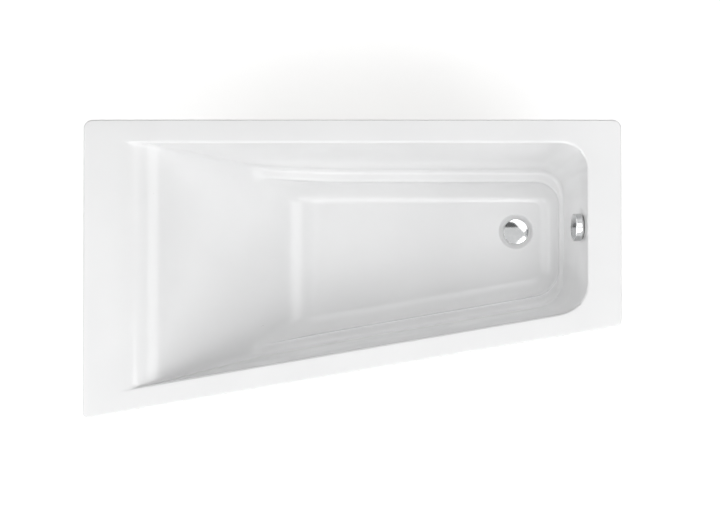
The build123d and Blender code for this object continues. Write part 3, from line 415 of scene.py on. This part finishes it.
# %% [markdown]
# ## The sprayed backing
#
# Behind the acrylic, chopped glass and resin are sprayed on by hand. The layer follows the shell, so it
# comes from the same formula, moved outwards, and its outer side is uneven.

# %% Build the backing
BACKING_COUNTS = (16, 84, 14, 40, 14, 84, 16, 40)
BACKING_ROWS = 84
BACKING_TOP_Z = RIM_Z - 25 * MM
LAYER = 2.9 * MM
LAYER_GAP = 0.1 * MM


def grid_normals(grid):
    """The unit normal at each grid point: the cross product of the steps along rows and columns."""
    across = np.roll(grid, -1, axis=0) - np.roll(grid, 1, axis=0)
    down = np.gradient(grid, axis=1)
    normal = np.cross(down, across)
    normal /= np.maximum(np.linalg.norm(normal, axis=-1, keepdims=True), 1e-12)
    return normal * np.sign(normal[..., 2:].sum())


def cut_below(grid, top):
    """The part of each column under a height, with its rows spread evenly again over what is left."""
    rows = grid.shape[1]
    under = grid[..., 2] < top
    first = np.argmax(under, axis=1)
    share = np.linspace(0, 1, rows)
    places = first[:, None] + (rows - 1 - first)[:, None] * share
    low = np.floor(places).astype(int).clip(0, rows - 2)
    part = (places - low)[..., None]
    columns = np.arange(len(grid))[:, None]
    return grid[columns, low] * (1 - part) + grid[columns, low + 1] * part


inner = basin_grid(BACKING_COUNTS, BACKING_ROWS)
backing_grid = inner - grid_normals(inner) * (SHEET + LAYER_GAP)
backing_grid = cut_below(backing_grid, BACKING_TOP_Z)
backing = sheet_object("sprayed_backing", backing_grid)
outward_up(backing)
thicken(backing, LAYER)
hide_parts("reinforcement_layer")
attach(backing, "tub")
print("backing grid:", backing_grid.shape)

# %% [markdown]
# ## Shared effects
#
# Several finishes need the same thing: a soft uneven tone, or fine grain that catches the light. Each is
# a node group with its own inputs, built once.

# %% Node groups
def new_group(name, inputs, outputs):
    """An empty shader group with float or colour sockets, and its two end nodes."""
    group = bpy.data.node_groups.new(name, "ShaderNodeTree")
    kinds = {"value": "NodeSocketFloat", "colour": "NodeSocketColor", "vector": "NodeSocketVector"}
    for label, kind, default in inputs:
        socket = group.interface.new_socket(label, in_out="INPUT", socket_type=kinds[kind])
        if default is not None:
            socket.default_value = default
    for label, kind in outputs:
        group.interface.new_socket(label, in_out="OUTPUT", socket_type=kinds[kind])
    return group, group.nodes.new("NodeGroupInput"), group.nodes.new("NodeGroupOutput")


def mottle_group():
    """Two colours mixed by soft noise at a scale, and the noise itself as a mask."""
    group, start, end = new_group(
        "soft_mottle",
        [("Scale", "value", 8.0), ("Contrast", "value", 0.5), ("Low", "colour", (0.8, 0.8, 0.8, 1)),
         ("High", "colour", (0.9, 0.9, 0.9, 1))],
        [("Colour", "colour"), ("Mask", "value")],
    )
    place = group.nodes.new("ShaderNodeTexCoord")
    noise = group.nodes.new("ShaderNodeTexNoise")
    noise.inputs["Detail"].default_value = 5
    spread = group.nodes.new("ShaderNodeMapRange")
    spread.interpolation_type = "SMOOTHSTEP"
    low = group.nodes.new("ShaderNodeMath")
    low.operation = "MULTIPLY_ADD"
    low.inputs[1].default_value = 0.35
    low.inputs[2].default_value = 0.12
    high = group.nodes.new("ShaderNodeMath")
    high.operation = "SUBTRACT"
    high.inputs[0].default_value = 1
    mix = group.nodes.new("ShaderNodeMix")
    mix.data_type = "RGBA"
    link = group.links.new
    link(place.outputs["Object"], noise.inputs["Vector"])
    link(start.outputs["Scale"], noise.inputs["Scale"])
    link(start.outputs["Contrast"], low.inputs[0])
    link(low.outputs[0], high.inputs[1])
    link(noise.outputs["Fac"], spread.inputs["Value"])
    link(low.outputs[0], spread.inputs["From Min"])
    link(high.outputs[0], spread.inputs["From Max"])
    link(spread.outputs["Result"], mix.inputs["Factor"])
    link(start.outputs["Low"], mix.inputs["A"])
    link(start.outputs["High"], mix.inputs["B"])
    link(mix.outputs["Result"], end.inputs["Colour"])
    link(spread.outputs["Result"], end.inputs["Mask"])
    return group


def grain_group():
    """Fine noise as a height, with a coarser noise under it: their weighted sum."""
    group, start, end = new_group(
        "fine_grain", [("Scale", "value", 900.0), ("Coarse share", "value", 0.4)], [("Height", "value")]
    )
    place = group.nodes.new("ShaderNodeTexCoord")
    fine = group.nodes.new("ShaderNodeTexNoise")
    coarse = group.nodes.new("ShaderNodeTexNoise")
    tenth = group.nodes.new("ShaderNodeMath")
    tenth.operation = "MULTIPLY"
    tenth.inputs[1].default_value = 0.1
    mix = group.nodes.new("ShaderNodeMix")
    link = group.links.new
    link(place.outputs["Object"], fine.inputs["Vector"])
    link(place.outputs["Object"], coarse.inputs["Vector"])
    link(start.outputs["Scale"], fine.inputs["Scale"])
    link(start.outputs["Scale"], tenth.inputs[0])
    link(tenth.outputs[0], coarse.inputs["Scale"])
    link(start.outputs["Coarse share"], mix.inputs["Factor"])
    link(fine.outputs["Fac"], mix.inputs["A"])
    link(coarse.outputs["Fac"], mix.inputs["B"])
    link(mix.outputs["Result"], end.inputs["Height"])
    return group


def cells_group():
    """Flat-sided cells with a random tone each, as chips, crystals and fibres show: a tone and a height."""
    group, start, end = new_group(
        "cell_tones", [("Scale", "value", 60.0), ("Stretch", "vector", (1, 1, 1))],
        [("Tone", "value"), ("Height", "value")],
    )
    place = group.nodes.new("ShaderNodeTexCoord")
    stretch = group.nodes.new("ShaderNodeVectorMath")
    stretch.operation = "MULTIPLY"
    cells = group.nodes.new("ShaderNodeTexVoronoi")
    tone = group.nodes.new("ShaderNodeSeparateColor")
    link = group.links.new
    link(place.outputs["Object"], stretch.inputs[0])
    link(start.outputs["Stretch"], stretch.inputs[1])
    link(stretch.outputs[0], cells.inputs["Vector"])
    link(start.outputs["Scale"], cells.inputs["Scale"])
    link(cells.outputs["Color"], tone.inputs["Color"])
    link(tone.outputs["Red"], end.inputs["Tone"])
    link(cells.outputs["Distance"], end.inputs["Height"])
    return group


MOTTLE, GRAIN, CELLS = mottle_group(), grain_group(), cells_group()
print("groups:", [group.name for group in (MOTTLE, GRAIN, CELLS)])

# %% Helpers for materials
class Finish:
    """A material with its principled shader, and short ways to add groups to it."""

    def __init__(self, name, **values):
        self.material = bpy.data.materials.new(name)
        self.material.use_nodes = True
        self.nodes = self.material.node_tree.nodes
        self.link = self.material.node_tree.links.new
        self.shader = self.nodes["Principled BSDF"]
        for label, value in values.items():
            self.shader.inputs[label.replace("_", " ")].default_value = value

    def group(self, tree, **values):
        """One of the shared groups, with its inputs set."""
        node = self.nodes.new("ShaderNodeGroup")
        node.node_tree = tree
        for label, value in values.items():
            node.inputs[label.replace("_", " ")].default_value = value
        return node

    def colour(self, low, high, scale, contrast=0.5):
        """Base colour from soft mottle between two colours."""
        node = self.group(MOTTLE, Scale=scale, Contrast=contrast, Low=(*low, 1), High=(*high, 1))
        self.link(node.outputs["Colour"], self.shader.inputs["Base Color"])
        return node

    def rough(self, source, low, high):
        """Roughness between two values, steered by a mask."""
        spread = self.nodes.new("ShaderNodeMapRange")
        spread.inputs["To Min"].default_value = low
        spread.inputs["To Max"].default_value = high
        self.link(source, spread.inputs["Value"])
        self.link(spread.outputs["Result"], self.shader.inputs["Roughness"])

    def bump(self, source, depth, strength=1.0):
        """A bump of a real depth in metres from a height."""
        node = self.nodes.new("ShaderNodeBump")
        node.inputs["Strength"].default_value = strength
        node.inputs["Distance"].default_value = depth
        self.link(source, node.inputs["Height"])
        self.link(node.outputs["Normal"], self.shader.inputs["Normal"])

# %% [markdown]
# ## Finishes
#
# Cast acrylic is white through and through, with a deep gloss that water marks and wiping dull a little.
# Each finish says what its stuff is, and takes its scale from the real thing.

# %% Acrylic and backing
def acrylic():
    """White cast acrylic: nearly even colour, a clear gloss and a trace of wiped film."""
    finish = Finish("acrylic", IOR=1.49, Specular_IOR_Level=0.5)
    tone = finish.colour((0.80, 0.802, 0.805), (0.82, 0.822, 0.824), 5)
    finish.rough(tone.outputs["Mask"], 0.13, 0.19)
    finish.bump(finish.group(GRAIN, Scale=160, Coarse_share=0.7).outputs["Height"], 0.00002, 0.4)
    return finish.material


def glass_fibre():
    """Resin over chopped glass: short strands at random angles, slightly yellow, with a dull gloss."""
    finish = Finish("glass_fibre", IOR=1.55)
    strands = finish.group(CELLS, Scale=55, Stretch=(1, 1, 2.4))
    dull, pale = (0.60, 0.585, 0.52, 1), (0.74, 0.73, 0.67, 1)
    tint = finish.group(MOTTLE, Scale=14, Contrast=0.7, Low=dull, High=pale)
    mix = finish.nodes.new("ShaderNodeMix")
    mix.data_type = "RGBA"
    mix.blend_type = "MULTIPLY"
    mix.inputs["Factor"].default_value = 0.12
    tone = finish.nodes.new("ShaderNodeCombineColor")
    for channel in ("Red", "Green", "Blue"):
        finish.link(strands.outputs["Tone"], tone.inputs[channel])
    finish.link(tint.outputs["Colour"], mix.inputs["A"])
    finish.link(tone.outputs["Color"], mix.inputs["B"])
    finish.link(mix.outputs["Result"], finish.shader.inputs["Base Color"])
    finish.rough(tint.outputs["Mask"], 0.38, 0.6)
    finish.bump(strands.outputs["Height"], 0.0012, 0.7)
    return finish.material

# %% Board, steel and fasteners
def chipboard():
    """Pressed wood chips: flat flakes of many tans, and a fine open grain."""
    finish = Finish("chipboard", Roughness=0.82)
    flakes = finish.group(CELLS, Scale=130, Stretch=(1, 0.45, 1))
    ramp = finish.nodes.new("ShaderNodeValToRGB")
    ramp.color_ramp.elements[0].color = (0.30, 0.19, 0.095, 1)
    ramp.color_ramp.elements[1].color = (0.62, 0.46, 0.27, 1)
    middle = ramp.color_ramp.elements.new(0.45)
    middle.color = (0.50, 0.345, 0.19, 1)
    finish.link(flakes.outputs["Tone"], ramp.inputs["Fac"])
    finish.link(ramp.outputs["Color"], finish.shader.inputs["Base Color"])
    finish.bump(finish.group(GRAIN, Scale=500, Coarse_share=0.5).outputs["Height"], 0.0003, 0.7)
    return finish.material


def zinc_steel():
    """Hot-dip zinc on sheet steel: crystals of slightly different grey and gloss."""
    finish = Finish("zinc_steel", Metallic=1.0)
    crystals = finish.group(CELLS, Scale=90, Stretch=(1, 1, 1))
    ramp = finish.nodes.new("ShaderNodeValToRGB")
    ramp.color_ramp.elements[0].color = (0.47, 0.49, 0.505, 1)
    ramp.color_ramp.elements[1].color = (0.64, 0.655, 0.67, 1)
    finish.link(crystals.outputs["Tone"], ramp.inputs["Fac"])
    finish.link(ramp.outputs["Color"], finish.shader.inputs["Base Color"])
    finish.rough(crystals.outputs["Tone"], 0.34, 0.5)
    finish.bump(finish.group(GRAIN, Scale=700, Coarse_share=0.3).outputs["Height"], 0.00004, 0.5)
    return finish.material


def zinc_fastener():
    """Bright electroplated zinc, a little blue, with tool marks."""
    finish = Finish("zinc_fastener", Metallic=1.0)
    tone = finish.colour((0.55, 0.57, 0.60), (0.70, 0.71, 0.73), 160, 0.7)
    finish.rough(tone.outputs["Mask"], 0.24, 0.4)
    finish.bump(finish.group(GRAIN, Scale=1500, Coarse_share=0.2).outputs["Height"], 0.00003, 0.5)
    return finish.material


def chrome():
    """Polished chrome plate with the faintest film of dried water."""
    finish = Finish("chrome", Metallic=1.0)
    tone = finish.colour((0.55, 0.56, 0.565), (0.60, 0.605, 0.61), 40, 0.4)
    finish.rough(tone.outputs["Mask"], 0.05, 0.09)
    finish.bump(finish.group(GRAIN, Scale=250, Coarse_share=0.8).outputs["Height"], 0.000008, 0.3)
    return finish.material

# %% Plastics, rubber and cable
def moulded(name, low, high, rough, scale, depth):
    """A moulded plastic or rubber: a colour that varies a little and a fine eroded surface."""
    finish = Finish(name)
    tone = finish.colour(low, high, scale)
    finish.rough(tone.outputs["Mask"], *rough)
    finish.bump(finish.group(GRAIN, Scale=1100, Coarse_share=0.35).outputs["Height"], depth, 0.6)
    return finish.material


BLACK, DEEP_BLACK, SOFT_BLACK = (0.018, 0.018, 0.019), (0.02, 0.02, 0.021), (0.022, 0.022, 0.023)
WORN_BLACK, DRY_BLACK, BLOOMED = (0.032, 0.032, 0.033), (0.04, 0.04, 0.042), (0.045, 0.045, 0.046)
WHITE, BRIGHT_WHITE = (0.74, 0.745, 0.74), (0.80, 0.80, 0.795)
GREY, PALE_GREY = (0.25, 0.255, 0.26), (0.33, 0.335, 0.34)

FINISHES = {
    "acrylic": acrylic(),
    "glass_fibre": glass_fibre(),
    "chipboard": chipboard(),
    "zinc_steel": zinc_steel(),
    "zinc_fastener": zinc_fastener(),
    "chrome": chrome(),
    "pad_plastic": moulded("pad_plastic", BLACK, WORN_BLACK, (0.45, 0.6), 60, 0.00008),
    "seal_rubber": moulded("seal_rubber", SOFT_BLACK, BLOOMED, (0.62, 0.8), 90, 0.00006),
    "white_plastic": moulded("white_plastic", WHITE, BRIGHT_WHITE, (0.3, 0.42), 30, 0.00004),
    "grey_plastic": moulded("grey_plastic", GREY, PALE_GREY, (0.36, 0.5), 40, 0.00005),
    "cable_jacket": moulded("cable_jacket", DEEP_BLACK, DRY_BLACK, (0.4, 0.55), 70, 0.00005),
}

# %% Give every piece its finish
def wear(made, material):
    """Makes the material the only one on a piece."""
    made.data.materials.clear()
    made.data.materials.append(material)


for sub_part in frame["record"]["subparts"]:
    wear(NODES[sub_part["node"]], FINISHES[sub_part["material_slot"]])
wear(shell, FINISHES["acrylic"])
wear(backing, FINISHES["glass_fibre"])

# %% [markdown]
# ## Studio
#
# The photograph has a pure white ground and broad soft light from all round, strongest from the front and
# the foot side. The floor answers camera and mirror rays with white, and still takes the bath's shadow.

# %% Floor
def seen_directly(nodes, link):
    """One for camera, mirror and glass rays and nothing for the others: the clamped sum of the three."""
    path = nodes.new("ShaderNodeLightPath")
    total = path.outputs["Is Camera Ray"]
    for ray in ("Is Glossy Ray", "Is Transmission Ray"):
        more = nodes.new("ShaderNodeMath")
        more.use_clamp = True
        link(total, more.inputs[0])
        link(path.outputs[ray], more.inputs[1])
        total = more.outputs[0]
    return total


GLOW_NEAR, GLOW_FAR, GLOW_LEVEL = 2.0, 5.0, 0.45


def white_ground():
    """A pale diffuse floor plus a glow that only camera, mirror and glass rays see. The glow grows with the
    distance from the bath, so that the floor runs into the white world with no edge."""
    material = bpy.data.materials.new("white_ground")
    material.use_nodes = True
    nodes, link = material.node_tree.nodes, material.node_tree.links.new
    nodes.remove(nodes["Principled BSDF"])
    diffuse = nodes.new("ShaderNodeBsdfDiffuse")
    diffuse.inputs["Color"].default_value = (0.86, 0.86, 0.86, 1)
    glow = nodes.new("ShaderNodeEmission")
    place = nodes.new("ShaderNodeTexCoord")
    away = nodes.new("ShaderNodeVectorMath")
    away.operation = "LENGTH"
    spread = nodes.new("ShaderNodeMapRange")
    spread.interpolation_type = "SMOOTHSTEP"
    spread.inputs["From Min"].default_value = GLOW_NEAR
    spread.inputs["From Max"].default_value = GLOW_FAR
    spread.inputs["To Min"].default_value = GLOW_LEVEL
    level = nodes.new("ShaderNodeMath")
    level.operation = "MULTIPLY"
    link(place.outputs["Object"], away.inputs[0])
    link(away.outputs["Value"], spread.inputs["Value"])
    link(spread.outputs["Result"], level.inputs[1])
    both = nodes.new("ShaderNodeAddShader")
    link(seen_directly(nodes, link), level.inputs[0])
    link(level.outputs[0], glow.inputs["Strength"])
    link(diffuse.outputs[0], both.inputs[0])
    link(glow.outputs[0], both.inputs[1])
    link(both.outputs[0], nodes["Material Output"].inputs["Surface"])
    return material


FLOOR_REACH = 30.0
floor_mesh = bpy.data.meshes.new("studio_floor")
corners = np.array([(-1, -1), (1, -1), (1, 1), (-1, 1)]) * FLOOR_REACH
floor_mesh.from_pydata(np.column_stack([corners, np.zeros(4)]), [], [(0, 1, 2, 3)])
floor = bpy.data.objects.new("studio_floor", floor_mesh)
bpy.context.scene.collection.objects.link(floor)
wear(floor, white_ground())

# %% Lights and world
def soft_lamp(name, place, target, width, depth, power):
    """A broad area lamp that looks at a point."""
    data = bpy.data.lights.new(name, "AREA")
    data.shape = "RECTANGLE"
    data.size, data.size_y, data.energy = width, depth, power
    lamp = bpy.data.objects.new(name, data)
    lamp.location = place
    lamp.rotation_euler = (Vector(target) - Vector(place)).to_track_quat("-Z", "Y").to_euler()
    bpy.context.scene.collection.objects.link(lamp)
    return lamp


BATH_MIDDLE = Vector((0.0, 0.0, 0.4))
LAMP_AWAY, LAMP_SIDE = 6.0, 2.6
# Each lamp's azimuth and elevation in degrees, and its power in watts
LAMPS = [
    (45, 62, 40), (90, 62, 47), (180, 62, 33), (225, 62, 16), (270, 62, 52), (315, 62, 69),
    (0, 32, 44), (90, 32, 28), (180, 32, 18), (225, 32, 90), (270, 32, 22), (315, 32, 84),
    (180, 15, 40), (270, 15, 20),
]

for azimuth, elevation, watts in LAMPS:
    turn, lift = math.radians(azimuth), math.radians(elevation)
    way = Vector((math.cos(lift) * math.cos(turn), math.cos(lift) * math.sin(turn), math.sin(lift)))
    name = f"soft_lamp_{azimuth}_{elevation}"
    soft_lamp(name, BATH_MIDDLE + way * LAMP_AWAY, BATH_MIDDLE, LAMP_SIDE, LAMP_SIDE, watts)
print("lamps:", len(LAMPS))


def dark_card(low_y, high_y, reach_x, z, level):
    """A grey card above the bath on the wall side, which only mirror rays see. Without something dark to
    mirror, chrome looks like white plastic."""
    mesh = bpy.data.meshes.new("dark_card")
    corners = [(-reach_x, low_y, z), (-reach_x, high_y, z), (reach_x, high_y, z), (reach_x, low_y, z)]
    mesh.from_pydata(corners, [], [(0, 1, 2, 3)])
    card = bpy.data.objects.new("dark_card", mesh)
    bpy.context.scene.collection.objects.link(card)
    for ray in ("camera", "diffuse", "transmission", "volume_scatter", "shadow"):
        setattr(card, f"visible_{ray}", False)
    material = bpy.data.materials.new("dark_card")
    material.use_nodes = True
    nodes = material.node_tree.nodes
    nodes.remove(nodes["Principled BSDF"])
    glow = nodes.new("ShaderNodeEmission")
    glow.inputs["Strength"].default_value = level
    material.node_tree.links.new(glow.outputs[0], nodes["Material Output"].inputs["Surface"])
    wear(card, material)


CARD_NEAR_Y, CARD_FAR_Y, CARD_REACH_X, CARD_Z, CARD_LEVEL = 0.95, 4.6, 4.5, 6.5, 0.18
dark_card(CARD_NEAR_Y, CARD_FAR_Y, CARD_REACH_X, CARD_Z, CARD_LEVEL)


def studio_world():
    """A world that the camera, mirrors and glass see as white, and that lights nothing: the lamps do."""
    world = bpy.data.worlds.new("studio_world")
    world.use_nodes = True
    nodes, link = world.node_tree.nodes, world.node_tree.links.new
    nodes["Background"].inputs["Color"].default_value = (1, 1, 1, 1)
    link(seen_directly(nodes, link), nodes["Background"].inputs["Strength"])
    return world


bpy.context.scene.world = studio_world()
bpy.context.scene.view_settings.view_transform = "Standard"
